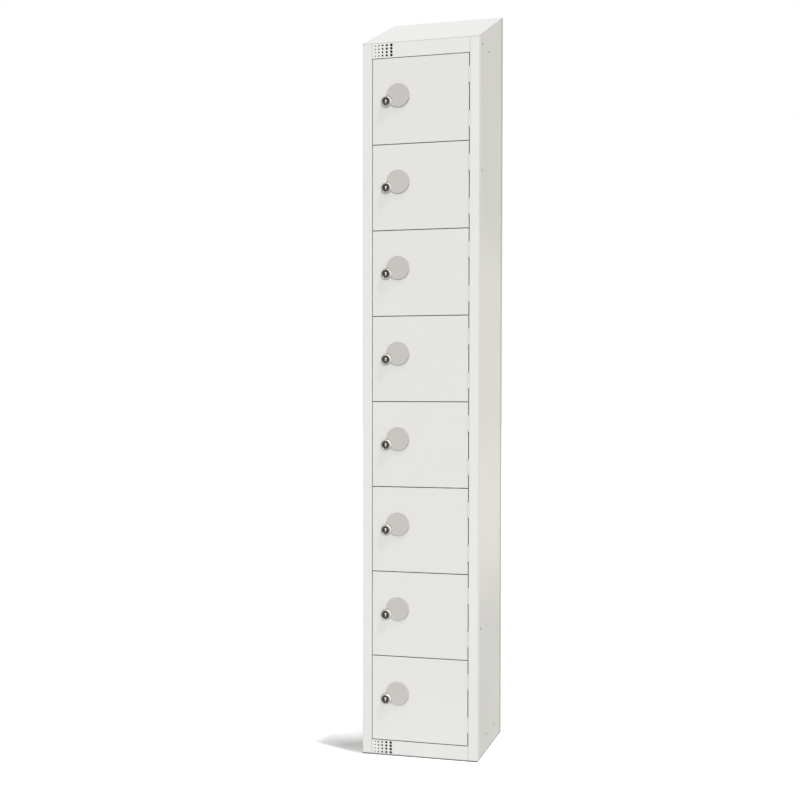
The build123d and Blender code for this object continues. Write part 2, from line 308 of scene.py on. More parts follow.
def lathe(bm, profile, steps, closed=False, material=None, flat=None):
    """Turns a profile of (radius, height) round Z; a flat limits how far it reaches in X."""
    rings = []
    for radius, height in profile:
        points = ring_points(radius, steps) if radius else [(0.0, 0.0)]
        if flat and height < 0:
            points = flattened(points, flat)
        rings.append([bm.verts.new((x, y, height)) for x, y in points])
    pairs = list(zip(rings, rings[1:]))
    if closed:
        pairs.append((rings[-1], rings[0]))
    for index, (near, far) in enumerate(pairs):
        for step in range(steps):
            after = (step + 1) % steps
            corners = [near[step % len(near)], near[after % len(near)]]
            corners += [far[after % len(far)], far[step % len(far)]]
            corners = list(dict.fromkeys(corners))
            if len(corners) > 2:
                face = bm.faces.new(corners)
                face.smooth = True
                if material:
                    face.material_index = material[index]


def add_ring(bm, points):
    """Edges of a closed ring through points."""
    ring = [bm.verts.new(point) for point in points]
    return [bm.edges.new((ring[i - 1], ring[i])) for i in range(len(ring))]


def fill_flat(bm, edges, normal):
    """Fills closed rings of edges with as few flat faces as the holes between them allow."""
    corners = {vert for edge in edges for vert in edge.verts}
    made = bmesh.ops.triangle_fill(bm, use_beauty=True, edges=edges, normal=normal)
    inner = [g for g in made["geom"] if isinstance(g, bmesh.types.BMEdge)]
    bmesh.ops.dissolve_limit(bm, angle_limit=math.radians(FLAT_ANGLE), verts=[], edges=inner)
    around = {face for vert in corners for face in vert.link_faces}
    return [face for face in around if corners.issuperset(face.verts)]


def fill_skin(bm, edges, outward):
    """Fills a skin's flat outer face and turns all its faces outwards."""
    outward = Vector(outward)
    fill_flat(bm, edges, outward)
    bmesh.ops.recalc_face_normals(bm, faces=bm.faces)
    outermost = max(bm.faces, key=lambda face: face.calc_center_median().dot(outward))
    if outermost.normal.dot(outward) < 0:
        bmesh.ops.reverse_faces(bm, faces=bm.faces)


def prism(bm, outlines, low, high, material=0):
    """A plate between two heights with one outer outline and any holes after it."""
    edges = []
    for points in outlines:
        edges += add_ring(bm, [(x, y, low) for x, y in points])
    floor = fill_flat(bm, edges, (0, 0, -1))
    raised = bmesh.ops.extrude_face_region(bm, geom=floor, use_keep_orig=True)
    top = [g for g in raised["geom"] if isinstance(g, bmesh.types.BMVert)]
    bmesh.ops.translate(bm, verts=top, vec=(0, 0, high - low))
    faces = set(floor)
    for vert in top:
        faces.update(vert.link_faces)
    bmesh.ops.recalc_face_normals(bm, faces=list(faces))
    for face in faces:
        face.material_index = material


def ring_points(radius, steps, middle=(0.0, 0.0), start=0.0, end=2 * math.pi):
    """Points round an arc, the end left out when it closes."""
    whole = abs(end - start - 2 * math.pi) < 1e-6
    angles = (start + (end - start) * i / steps for i in range(steps if whole else steps + 1))
    return [
        (middle[0] + radius * math.cos(angle), middle[1] + radius * math.sin(angle))
        for angle in angles
    ]


def rectangle(low_x, low_y, high_x, high_y):
    """Corners of an upright rectangle."""
    return [(low_x, low_y), (high_x, low_y), (high_x, high_y), (low_x, high_y)]


def square(x, y, half):
    """Corners of an upright square."""
    return rectangle(x - half, y - half, x + half, y + half)


def freed_mesh(name, bm):
    """The mesh that mesh code has made."""
    mesh = bpy.data.meshes.new(name)
    bm.to_mesh(mesh)
    bm.free()
    return mesh


def add_object(name, data):
    """Puts an object into the scene."""
    thing = bpy.data.objects.new(name, data)
    bpy.context.scene.collection.objects.link(thing)
    return thing


def add_piece(name, bm, body, node, materials, place=None):
    """Makes a piece from mesh code in millimetres, puts it in place and lets it ride a body."""
    if not bm.faces:
        raise RuntimeError(f"{name} has no faces")
    bm.transform(Matrix.Scale(MM, 4))
    if place is not None:
        bm.transform(place)
    piece = add_object(name, freed_mesh(name, bm))
    for material in materials:
        piece.data.materials.append(material)
    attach(piece, body)
    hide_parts(node)
    return piece


def soften(piece, width, segments=2, angle=EDGE_ANGLE):
    """Rounds the sharp edges of a piece a little and evens its shading."""
    configured(
        piece.modifiers.new("edge_round", "BEVEL"), width=width * MM, segments=segments,
        limit_method="ANGLE", angle_limit=math.radians(angle), face_strength_mode="FSTR_ALL",
    )
    configured(piece.modifiers.new("drop_slivers", "WELD"), merge_threshold=SLIVER * MM)
    configured(
        piece.modifiers.new("even_shading", "WEIGHTED_NORMAL"), weight=100, use_face_influence=True
    )


def dress_node(node, material):
    """Gives a CAD node its finish, merges its split faces and rounds its sheet edges."""
    piece = frame["nodes"][node]
    piece.data.materials.clear()
    piece.data.materials.append(material)
    configured(piece.modifiers.new("join_faces", "WELD"), merge_threshold=SLIVER * MM)
    configured(
        piece.modifiers.new("flat_faces", "DECIMATE"), decimate_type="DISSOLVE",
        angle_limit=math.radians(FLAT_ANGLE),
    )
    soften(piece, 0.25)


def lock_frame(number):
    """Matrix from the lock's own frame to the locker's frame, in metres."""
    joint = next(joint for joint in frame["joints"] if joint["name"] == f"lock_{number}_turn")
    return Matrix.Translation(joint["pos_m"]) @ UPRIGHT


def node_span(node):
    """Lowest and highest point of a CAD node, in millimetres."""
    low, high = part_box(node)
    return low.z / MM, high.z / MM


def door_span(number):
    """Lowest and highest point of a door, in millimetres."""
    return node_span(f"door_{number}_pan")


def hinge_heights(number):
    """Middle heights of a door's two hinges."""
    low, high = door_span(number)
    return high - HINGE_INSET, low + HINGE_INSET


def slope_height(y):
    """Height of the sloping top's upper face."""
    return FRONT_HEIGHT + (y - FRONT_Y) * SLOPE


def sharpen(bm, angle=CREASE_ANGLE):
    """Marks edges that turn more than an angle as sharp."""
    for edge in bm.edges:
        if len(edge.link_faces) == 2 and edge.calc_face_angle() > math.radians(angle):
            edge.smooth = False


def add_turned(bm, profile, steps, place, closed=False):
    """Adds a turned piece to a mesh; a closed profile keeps its creases."""
    one = bmesh.new()
    lathe(one, profile, steps, closed)
    bmesh.ops.recalc_face_normals(one, faces=one.faces)
    if closed:
        sharpen(one)
    one.transform(place)
    mesh = freed_mesh("scrap", one)
    bm.from_mesh(mesh)
    bpy.data.meshes.remove(mesh)


def thickened(skin, thickness):
    """The sheet whose outer face is a skin, as a new mesh; the skin's normals point outwards."""
    holder = add_object("scrap", freed_mesh("scrap", skin))
    mesh = holder.data
    configured(
        holder.modifiers.new("sheet", "SOLIDIFY"), thickness=thickness, offset=-1.0,
        use_even_offset=True,
    )
    bpy.context.view_layer.update()
    solid = bmesh.new()
    solid.from_object(holder, bpy.context.evaluated_depsgraph_get())
    bpy.data.objects.remove(holder)
    bpy.data.meshes.remove(mesh)
    for face in solid.faces:
        face.smooth = True
    return solid


def rounded_path(points, radius, steps=5):
    """A bent line with an arc at each of its inner corners."""
    path = [points[0]]
    for before, corner, after in zip(points, points[1:], points[2:]):
        before, corner, after = Vector(before), Vector(corner), Vector(after)
        near, far = (before - corner).normalized(), (after - corner).normalized()
        middle = corner + (near + far) * radius
        start, end = corner + near * radius - middle, corner + far * radius - middle
        for step in range(steps + 1):
            turn = step / steps * math.pi / 2
            path.append(tuple(middle + start * math.cos(turn) + end * math.sin(turn)))
    return path + [points[-1]]


def cut_window(bm, low, high):
    """Cuts an upright box out of a skin; the box is given by its corners."""
    for axis in range(3):
        normal = [float(i == axis) for i in range(3)]
        for corner in (low, high):
            reach = [
                face for face in bm.faces
                if all(
                    min(v.co[i] for v in face.verts) < high[i] + 1e-4
                    and max(v.co[i] for v in face.verts) > low[i] - 1e-4
                    for i in range(3)
                )
            ]
            geometry = set(reach)
            for face in reach:
                geometry.update(face.edges)
                geometry.update(face.verts)
            bmesh.ops.bisect_plane(
                bm, geom=list(geometry), dist=1e-4, plane_co=corner, plane_no=normal
            )
    inside = [
        face for face in bm.faces
        if all(low[i] - 1e-3 < face.calc_center_median()[i] < high[i] + 1e-3 for i in range(3))
    ]
    bmesh.ops.delete(bm, geom=inside, context="FACES")


# Nodes

def wired(tree, node, inputs):
    """Gives a node its inputs, by name or number, as sockets or values."""
    for key, value in inputs.items():
        if isinstance(value, bpy.types.NodeSocket):
            tree.links.new(value, node.inputs[key])
        else:
            node.inputs[key].default_value = value
    return node


def add_node(tree, kind, inputs=None, **settings):
    """A shader node with its settings and inputs."""
    node = configured(tree.nodes.new("ShaderNode" + kind), **settings)
    return wired(tree, node, inputs or {})


def cleared(data):
    """The empty node tree of a material or world."""
    data.use_nodes = True
    data.node_tree.nodes.clear()
    return data.node_tree


def new_group(name, inputs, outputs):
    """A node group and its inner sockets; one called Colour holds a colour, the others numbers."""
    group = bpy.data.node_groups.new(name, "ShaderNodeTree")
    for direction, sockets in (("INPUT", inputs), ("OUTPUT", dict.fromkeys(outputs))):
        for label, default in sockets.items():
            kind = "NodeSocketColor" if label == "Colour" else "NodeSocketFloat"
            socket = group.interface.new_socket(name=label, in_out=direction, socket_type=kind)
            if default is not None:
                socket.default_value = default
    return group, group.nodes.new("NodeGroupOutput")


def group_node(tree, name, build, inputs=None):
    """The outputs of a node that holds a shared group, which is built on first use."""
    group = bpy.data.node_groups.get(name) or build(name)
    return add_node(tree, "Group", inputs, node_tree=group).outputs


def maths(tree, operation, first, second=0.0, clamp=False):
    """A Math node with sockets or numbers as its values."""
    settings = {"operation": operation, "use_clamp": clamp}
    return add_node(tree, "Math", {0: first, 1: second}, **settings).outputs[0]


def vector_maths(tree, operation, first, second):
    """A Vector Math node, its second value a constant."""
    node = add_node(tree, "VectorMath", {0: first, 1: second}, operation=operation)
    return node.outputs["Value" if operation == "DOT_PRODUCT" else "Vector"]


def mm(*lengths):
    """Millimetres to metres."""
    return tuple(length * MM for length in lengths)


def product(tree, *values):
    """Product of several masks."""
    total = values[0]
    for value in values[1:]:
        total = maths(tree, "MULTIPLY", total, value)
    return total


def inverse(tree, mask):
    """What a mask leaves."""
    return maths(tree, "SUBTRACT", 1.0, mask)


def ramp(tree, value, start, end):
    """Eases a value from one range into another."""
    inputs = dict(zip(("From Min", "From Max", "To Min", "To Max"), (*start, *end)), Value=value)
    return add_node(tree, "MapRange", inputs, interpolation_type="SMOOTHSTEP").outputs["Result"]


def fade(tree, value, full, none):
    """Mask that is 1 on one side of a stretch and 0 on the other, in millimetres."""
    return ramp(tree, value, mm(*sorted((full, none))), (1.0, 0.0) if full < none else (0.0, 1.0))


def band(tree, value, middle, inside, outside):
    """Mask that is 1 up to one distance from a middle and 0 past another, in millimetres."""
    apart = maths(tree, "ABSOLUTE", maths(tree, "SUBTRACT", value, middle * MM))
    return fade(tree, apart, inside, outside)


def place_in_object(tree):
    """A point's place in its object's frame."""
    return add_node(tree, "TexCoord").outputs["Object"]


def place_axes(tree):
    """The three coordinates of that place."""
    return add_node(tree, "SeparateXYZ", {0: place_in_object(tree)}).outputs


def seen_rays(tree):
    """1 for rays that show the surface itself, and 0 for those that light other surfaces."""
    path = add_node(tree, "LightPath").outputs
    seen = maths(tree, "ADD", path["Is Camera Ray"], path["Is Glossy Ray"])
    return maths(tree, "ADD", seen, path["Is Transmission Ray"], clamp=True)


def noise(tree, vector, scale, detail=3.0, roughness=0.5):
    """A Noise Texture's value at a scale in cycles per metre."""
    inputs = {"Vector": vector, "Scale": scale, "Detail": detail, "Roughness": roughness}
    return add_node(tree, "TexNoise", inputs).outputs["Fac"]


def blend_colour(tree, factor, first, second, mode="MIX"):
    """A colour Mix node."""
    settings = {"data_type": "RGBA", "blend_type": mode}
    return add_node(tree, "Mix", {0: factor, 6: first, 7: second}, **settings).outputs[2]


def build_surface_wear(name):
    """Node group: cloudy tone, patches of roughness and a fine relief for a coat or plastic."""
    tree, out = new_group(
        name,
        {
            "Colour": (0.8, 0.8, 0.8, 1.0), "Tone Variation": 0.03, "Cloud Scale": 7.0,
            "Relief Scale": 420.0, "Roughness": 0.4, "Roughness Variation": 0.12,
        },
        ("Colour", "Roughness", "Relief"),
    )
    inside = tree.nodes.new("NodeGroupInput").outputs
    place = place_in_object(tree)
    cloud = noise(tree, place, inside["Cloud Scale"], 4.0, 0.6)
    fine = noise(tree, place, inside["Relief Scale"], 2.0, 0.45)
    speck = noise(tree, place, product(tree, inside["Relief Scale"], 3.1), 1.0, 0.5)
    tone = maths(tree, "ADD", cloud, product(tree, speck, 0.35))
    tone = product(tree, maths(tree, "SUBTRACT", tone, 0.675), inside["Tone Variation"], 2.0)
    tone = maths(tree, "ADD", tone, 1.0)
    grey = add_node(tree, "CombineColor", dict.fromkeys(range(3), tone)).outputs[0]
    patch = product(tree, maths(tree, "SUBTRACT", cloud, 0.5), inside["Roughness Variation"], 2.0)
    relief = product(tree, fine, 0.8)
    wired(tree, out, {
        "Colour": blend_colour(tree, 1.0, inside["Colour"], grey, "MULTIPLY"),
        "Roughness": maths(tree, "ADD", inside["Roughness"], patch, clamp=True),
        "Relief": maths(tree, "ADD", relief, product(tree, speck, 0.2)),
    })
    return tree


def build_carcass_shade(name):
    """Node group: painted shade of the carcass in its gaps and seams, at its foot, over its sides,
    top and low front, and inside its vented rails; and the mask of its side walls.
    """
    tree, out = new_group(name, {}, ("Shade", "Wall"))
    x, y, z = place_axes(tree)
    half = FRONT_HEIGHT / 2
    across = maths(tree, "ABSOLUTE", x)
    height = maths(tree, "ABSOLUTE", maths(tree, "SUBTRACT", z, half * MM))
    front = fade(tree, y, FRONT_Y + 0.7, FRONT_Y + 1.2)
    rails = fade(tree, height, half - RAIL_HEIGHT + 0.5, half - RAIL_HEIGHT)
    wall = fade(tree, across, SIDE_X - 0.1, SIDE_X - 0.3)
    sides = product(tree, wall, fade(tree, y, FRONT_Y + 25.0, FRONT_Y + 1.0))
    gaps = (band(tree, x, POST_X, 0.1, 0.3), band(tree, z, RAIL_HEIGHT, 0.1, 0.3))
    # Painted shade: a contact shadow along the foot, a dark line near the side's rear edge, shade
    # on the front fold, gradients over the sides, the sloping top and the low front, near black
    # inside the vented rails, and shade in the seams, at the front's top and bottom edges and in
    # the gaps
    masks = {
        "foot": (fade(tree, z, 2.2, 4.4),),
        "rear": (wall, band(tree, y, BACK_Y - 18.0, 5.0, 8.0)),
        "fold": (
            fade(tree, across, SIDE_X - 0.8, SIDE_X - 1.6),
            fade(tree, y, FRONT_Y + 2.0, FRONT_Y + 4.0),
        ),
        "sides": (sides,),
        "side_ends": (sides, inverse(tree, band(tree, z, 850.0, 320.0, 570.0))),
        "side_foot": (sides, fade(tree, z, 250.0, 650.0)),
        "crown": (
            fade(tree, z, FRONT_HEIGHT + 4.0, FRONT_HEIGHT), inverse(tree, wall),
            fade(tree, y, BACK_Y - 4.0, BACK_Y - 1.0),
        ),
        "base": (front, fade(tree, z, 0.0, 420.0)),
        "hollow": (
            fade(tree, y, FRONT_Y + 0.2, FRONT_Y + 0.05),
            fade(tree, y, STOP_Y + 1.1, STOP_Y + 1.4), rails,
            fade(tree, height, half - 0.6, half - 0.3), band(tree, x, VENT_MIDDLE, 28.2, 30.0),
        ),
        "seam": (band(tree, across, POST_X, 0.4, 1.1), front, rails),
        "brow": (
            fade(tree, height, half - 0.6, half - 1.6),
            fade(tree, y, FRONT_Y + 2.0, FRONT_Y + 5.0),
        ),
        "gap": (maths(tree, "MAXIMUM", *gaps), fade(tree, y, FRONT_Y + 2.0, FRONT_Y + 0.8)),
    }
    light = (
        inverse(tree, product(tree, *masks[place], depth)) for place, depth in SHADES.items()
    )
    wired(tree, out, {"Shade": inverse(tree, product(tree, *light)), "Wall": wall})
    return tree


def build_plated_metal(name):
    """Node group: fine scratches and polish marks for plated metal."""
    tree, out = new_group(
        name,
        {"Colour": (0.7, 0.7, 0.7, 1.0), "Tarnish": 0.1, "Roughness": 0.2, "Scratch Scale": 1500.0},
        ("Colour", "Roughness", "Relief"),
    )
    inside = tree.nodes.new("NodeGroupInput").outputs
    place = place_in_object(tree)
    stretch = add_node(tree, "Mapping", {"Vector": place, "Scale": (1.0, 0.25, 0.06)})
    scratch = noise(tree, stretch.outputs[0], inside["Scratch Scale"], 3.0, 0.6)
    smudge = noise(tree, place, 160.0, 3.0, 0.55)
    dulled = blend_colour(tree, 1.0, inside["Colour"], TARNISH_TINT, "MULTIPLY")
    amount = maths(tree, "MULTIPLY", smudge, inside["Tarnish"], clamp=True)
    change = product(tree, maths(tree, "SUBTRACT", smudge, 0.5), 0.25)
    grain = product(tree, maths(tree, "SUBTRACT", scratch, 0.5), 0.12)
    change = maths(tree, "ADD", change, grain)
    wired(tree, out, {
        "Colour": blend_colour(tree, amount, inside["Colour"], dulled),
        "Roughness": maths(tree, "ADD", inside["Roughness"], change, clamp=True),
        "Relief": scratch,
    })
    return tree


# Materials

def surface_material(name, group, settings, finish, relief, retint=None):
    """A material from a shared group; the dictionaries set the group, the shader and the bump."""
    if name in bpy.data.materials:
        return bpy.data.materials[name]
    material = bpy.data.materials.new(name)
    tree = cleared(material)
    effect = group_node(tree, *group, settings)
    colour = effect["Colour"]
    bump = add_node(tree, "Bump", {**relief, "Height": effect["Relief"]})
    shader = add_node(tree, "BsdfPrincipled", {
        **finish,
        "Base Color": retint(tree, colour) if retint else colour,
        "Roughness": effect["Roughness"],
        "Normal": bump.outputs["Normal"],
    })
    add_node(tree, "OutputMaterial", {"Surface": shader.outputs["BSDF"]})
    return material


def coat(
    name, colour, roughness=None, tone=0.012, cloud=6.0, relief=380.0, depth=0.00003, strength=0.25,
    retint=None,
):
    """Powder coat or moulded plastic; the roughness is the panel's unless another is given."""
    if roughness is None:
        roughness = bpy.context.scene.locker_paint.gloss
    settings = {
        "Colour": (*colour, 1.0), "Tone Variation": tone, "Cloud Scale": cloud,
        "Relief Scale": relief, "Roughness": roughness,
    }
    return surface_material(
        name, ("surface_wear", build_surface_wear), settings, {"Specular IOR Level": 0.4},
        {"Strength": strength, "Distance": depth}, retint,
    )


def plating(name, colour, roughness, tarnish=0.25, scratches=1500.0, metal=1.0, retint=None):
    """Chromed or zinc plated metal."""
    settings = {
        "Colour": (*colour, 1.0), "Tarnish": tarnish, "Roughness": roughness,
        "Scratch Scale": scratches,
    }
    return surface_material(
        name, ("plated_metal", build_plated_metal), settings, {"Metallic": metal},
        {"Strength": 0.15, "Distance": 0.00001}, retint,
    )


def paint_shade_and_bounce(tree, colour):
    """Paints warm bounce light onto the side walls and painted shade into the gaps, seams and other
    places where shade falls.
    """
    shade = group_node(tree, "carcass_shade", build_carcass_shade)
    warm = blend_colour(tree, shade["Wall"], colour, PAINTED_BOUNCE_WARMTH, "MULTIPLY")
    return blend_colour(tree, shade["Shade"], warm, PAINTED_SHADE_BLACK)


def paint_flank_highlight(tree, colour):
    """Paints the flank: a painted highlight where it faces the upper right, and painted shade on
    its other sides.
    """
    normal = add_node(tree, "TexCoord").outputs["Normal"]
    facing = vector_maths(tree, "DOT_PRODUCT", normal, FLANK_HIGHLIGHT_SIDE)
    return blend_colour(tree, ramp(tree, facing, (0.25, 0.85), (0.45, 0.0)), colour, FLANK_PAINTED_SHADE)


# Powder coat of the carcass, carrying its painted shade and painted bounce light
def body_coat_and_shade():
    return coat("body_coat_painted_shade", bpy.context.scene.locker_paint.body_colour, retint=paint_shade_and_bounce)


def rivet_paint():
    return coat("rivet_coat", RIVET_COLOUR)


def door_paint():
    return coat("door_powder_coat", bpy.context.scene.locker_paint.door_colour)


# Darker door coat on the returns: painted shade in the gaps round the door
def door_gap_shade_paint():
    shade_colour = [GAP_SHADE_TONE * part for part in bpy.context.scene.locker_paint.door_colour]
    return coat("door_gap_painted_shade", shade_colour)


def disc_plastic():
    colour = bpy.context.scene.locker_paint.disc_colour
    return coat("plate_plastic", colour, 0.5, 0.03, 28.0, 900.0, 0.00004, 0.35)


# Darker plastic on the plate's downward faces: painted shade under its rim
def disc_underside_shade():
    shade_colour = [UNDERSIDE_SHADE_TONE * part for part in bpy.context.scene.locker_paint.disc_colour]
    return coat("plate_underside_shade", shade_colour, 0.6, 0.03, 60.0, 900.0)


def lock_chrome():
    return plating("lock_chrome", bpy.context.scene.locker_lock.chrome_colour, 0.22)


# Bright non-metallic flank with a painted highlight towards the upper right and painted shade on
# its other sides
def lock_rim():
    colour = bpy.context.scene.locker_lock.rim_colour
    return plating("lock_rim", colour, 0.5, tarnish=0.1, metal=0.0, retint=paint_flank_highlight)


def key_metal():
    return plating("key_metal", KEYWAY_COLOUR, 0.42, tarnish=0.1)


def lock_black():
    return coat("lock_black", bpy.context.scene.locker_lock.face_colour, 0.35, 0.10, 220.0, 1800.0)


def zinc_plate():
    colour = bpy.context.scene.locker_lock.zinc_colour
    return plating("zinc_plate", colour, 0.34, tarnish=0.55, scratches=900.0)


# Stage

def studio_camera(studio):
    """The photograph's camera."""
    yaw, pitch, roll = (math.radians(angle) for angle in CAMERA_TURN)
    level = math.cos(pitch)
    ahead = Vector((-math.sin(yaw) * level, math.cos(yaw) * level, math.sin(pitch)))
    right = Vector((math.cos(yaw), math.sin(yaw), 0))
    up = right.cross(ahead)
    across = right * math.cos(roll) + up * math.sin(roll)
    above = up * math.cos(roll) - right * math.sin(roll)
    data = configured(
        bpy.data.cameras.new("photo_camera"), lens=studio.lens, sensor_width=SENSOR_WIDTH,
        shift_x=CAMERA_SHIFT[0], shift_y=CAMERA_SHIFT[1], clip_end=200.0,
    )
    turn = Matrix((across, above, -ahead)).transposed().to_4x4()
    place = Matrix.Translation(CAMERA_PLACE) @ turn
    return configured(add_object("photo_camera", data), matrix_world=place)


def studio_world(studio):
    """White surroundings that light less than they show."""
    world = bpy.data.worlds.new("white_studio")
    tree = cleared(world)
    extra = product(tree, seen_rays(tree), 1.0 - studio.ambient)
    strength = maths(tree, "ADD", extra, studio.ambient)
    inputs = {"Color": (1.0, 1.0, 1.0, 1.0), "Strength": strength}
    background = add_node(tree, "Background", inputs)
    add_node(tree, "OutputWorld", {"Surface": background.outputs[0]})
    return world


def studio_floor():
    """Pale floor whose painted glow hides the locker's shadow but for a short stretch left of its
    foot, where the glow fades in.
    """
    bm = bmesh.new()
    lathe(bm, [(radius, 0.0) for radius in FLOOR_RINGS], 64)
    floor = add_object("studio_floor", freed_mesh("studio_floor", bm))
    material = bpy.data.materials.new("studio_floor")
    tree = cleared(material)
    place = place_in_object(tree)
    dark, pale = ((grey, grey, grey, 1.0) for grey in FLOOR_GREYS)
    colour = blend_colour(tree, noise(tree, place, 3.0), dark, pale)
    diffuse = add_node(tree, "BsdfDiffuse", {"Color": colour})
    foot = vector_maths(tree, "SUBTRACT", place, (-SIDE_X * MM, FRONT_Y * MM, 0.0))
    level = 0.0
    for towards, start, end in SHADOW_FADES:
        along = vector_maths(tree, "DOT_PRODUCT", foot, (*towards, 0.0))
        lit = ramp(tree, along, mm(start, end), (0.0, FLOOR_GLOW))
        level = maths(tree, "MAXIMUM", lit, level)
    x, y, _ = place_axes(tree)
    under = product(tree, *(band(tree, axis, 0.0, *FOOTPRINT) for axis in (x, y)))
    strength = product(tree, seen_rays(tree), level, inverse(tree, under))
    glow = add_node(tree, "Emission", {"Strength": strength})
    both = add_node(tree, "AddShader", {0: diffuse.outputs[0], 1: glow.outputs[0]})
    add_node(tree, "OutputMaterial", {"Surface": both.outputs[0]})
    floor.data.materials.append(material)
    return floor


def add_lamps(studio):
    """Two broad lamps."""
    for name, towards, spread in LAMPS:
        lamp = bpy.data.lights.new(name, "SUN")
        configured(lamp, energy=getattr(studio, name), angle=math.radians(spread))
        away = Vector(towards).normalized()
        turn = (-away).to_track_quat("-Z", "Y").to_matrix().to_4x4()
        add_object(name, lamp).matrix_world = Matrix.Translation(away * LAMP_DISTANCE) @ turn


class LOCKER_OT_stage(bpy.types.Operator):
    """Camera at the photograph's angle, pale floor, white background and soft lamps"""

    bl_idname = "locker.stage"
    bl_label = "Studio Stage"

    def execute(self, context):
        studio = context.scene.locker_studio
        context.scene.view_settings.view_transform = "Standard"
        context.scene.camera = studio_camera(studio)
        context.scene.world = studio_world(studio)
        studio_floor()
        add_lamps(studio)
        return {"FINISHED"}


# Body

class LOCKER_OT_body(bpy.types.Operator):
    """Powder coat, with painted shade and painted bounce light, and softened edges for the back,
    trays, shelves and sloping top
    """

    bl_idname = "locker.body"
    bl_label = "Body Panels"

    def execute(self, context):
        for node in ("back_panel", "base_panel", "roof_panel", "shelves", "sloping_top"):
            dress_node(node, body_coat_and_shade())
        return {"FINISHED"}


def side_skin():
    """Outer face of the right side, from the rear flange round to the doors' stop."""
    path = rounded_path(
        [
            (SIDE_X - REAR_FLANGE, BACK_Y), (SIDE_X, BACK_Y), (SIDE_X, FRONT_Y),
            (POST_X, FRONT_Y), (POST_X, STOP_Y), (POST_X - STOP_FLANGE, STOP_Y),
        ],
        FOLD_RADIUS,
    )
    bm = bmesh.new()
    columns = []
    for x, y in path:
        top = slope_height(y) - (0.0 if x > SIDE_X - SHEET else SLOPE_DROP)
        columns.append((bm.verts.new((x, y, 0.0)), bm.verts.new((x, y, top))))
    longest = max(range(len(path) - 1), key=lambda i: abs(path[i][1] - path[i + 1][1]))
    for index, (near, far) in enumerate(zip(columns, columns[1:])):
        if index != longest:
            bm.faces.new((near[0], far[0], far[1], near[1]))
    near, far = columns[longest], columns[longest + 1]
    edges = [
        bm.edges.get(near) or bm.edges.new(near), bm.edges.get(far) or bm.edges.new(far),
        bm.edges.new((near[0], far[0])), bm.edges.new((near[1], far[1])),
    ]
    for y, z in NESTING_HOLES:
        hole = ring_points(NESTING_RADIUS, 32, (y, z))
        edges += add_ring(bm, [(SIDE_X, *point) for point in hole])
    fill_skin(bm, edges, (1.0, 0.0, 0.0))
    inner = POST_X - STOP_FLANGE - 1.0
    edge = POST_X - FOLD_RADIUS + 1e-3
    for low, high in ((-1.0, RAIL_HEIGHT), (FRONT_HEIGHT - RAIL_HEIGHT, 2000.0)):
        cut_window(bm, (inner, STOP_Y - 0.1, low), (edge, STOP_Y + 0.1, high))
    return bm


class LOCKER_OT_sides(bpy.types.Operator):
    """Sides folded round into the front posts and the doors' stops, with rounded folds"""

    bl_idname = "locker.sides"
    bl_label = "Folded Sides"

    def execute(self, context):
        for side, node in ((-1, "side_panel_left"), (1, "side_panel_right")):
            skin = side_skin()
            if side > 0:
                reach = HINGE_LENGTH / 2 + KNUCKLE_GAP
                edge = KNUCKLE_RADIUS + NOTCH_GAP
                for number in range(1, DOORS + 1):
                    for z in hinge_heights(number):
                        low = (HINGE_X, FRONT_Y, z - reach)
                        cut_window(skin, low, (HINGE_X + edge, FRONT_Y + edge, z + reach))
            solid = thickened(skin, SHEET)
            foot = rectangle(
                SIDE_X - FOOT_FLANGE, STOP_Y + FOOT_INSET, SIDE_X - SHEET, BACK_Y - FOOT_INSET
            )
            prism(solid, [foot], 0.0, SHEET)
            if side < 0:
                bmesh.ops.scale(solid, vec=(-1, 1, 1), verts=solid.verts)
                bmesh.ops.reverse_faces(solid, faces=solid.faces)
            name, paints = node + "_folded", [body_coat_and_shade()]
            soften(add_piece(name, solid, "cabinet", node, paints), 0.2)
        return {"FINISHED"}


def add_rail(node, lift):
    """One rail with its vents, folded back on four sides."""
    bottom, top = node_span(node)
    middle = (bottom + top) / 2 + lift
    outlines = [rectangle(-POST_X, bottom, POST_X, top)]
    for x, radius in VENT_COLUMNS:
        for row in range(VENT_ROWS):
            z = middle + (row - (VENT_ROWS - 1) / 2) * VENT_PITCH
            outlines.append(ring_points(radius + VENT_MOUTH, 32, (x, z)))
    bm = bmesh.new()
    prism(bm, outlines, -SHEET, 0.0)
    for wall in (
        rectangle(-POST_X, bottom, POST_X, bottom + SHEET),
        rectangle(-POST_X, top - SHEET, POST_X, top),
        rectangle(-POST_X, bottom + SHEET, SHEET - POST_X, top - SHEET),
        rectangle(POST_X - SHEET, bottom + SHEET, POST_X, top - SHEET),
    ):
        prism(bm, [wall], -RAIL_DEPTH, -SHEET)
    place = Matrix.Translation((0.0, FRONT_Y * MM, 0.0)) @ UPRIGHT
    name, paints = node + "_pressed", [body_coat_and_shade()]
    soften(add_piece(name, bm, "cabinet", node, paints, place), 0.38)


class LOCKER_OT_rails(bpy.types.Operator):
    """Header and footer rails with round pressed vent holes"""

    bl_idname = "locker.rails"
    bl_label = "Vented Rails"

    def execute(self, context):
        add_rail("header_rail", 0.0)
        add_rail("footer_rail", FOOTER_VENT_LIFT)
        return {"FINISHED"}


class LOCKER_OT_rivets(bpy.types.Operator):
    """Domed rivets through both side walls"""

    bl_idname = "locker.rivets"
    bl_label = "Rivets"

    def execute(self, context):
        profile = [(0.0, RIVET_RIM + RIVET_DOME)]
        for step in range(1, 7):
            angle = step * math.pi / 12
            height = RIVET_RIM + RIVET_DOME * math.cos(angle)
            profile.append((RIVET_RADIUS * math.sin(angle), height))
        profile += RIVET_SHANK
        bm = bmesh.new()
        for side in (-1, 1):
            turn = Matrix.Rotation(side * math.pi / 2, 4, "Y")
            for y, z in RIVET_PLACES:
                add_turned(bm, profile, 32, Matrix.Translation((side * SIDE_X, y, z)) @ turn)
        add_piece("rivets_domed", bm, "cabinet", "carcass_rivets", [rivet_paint()])
        return {"FINISHED"}


# Hinges

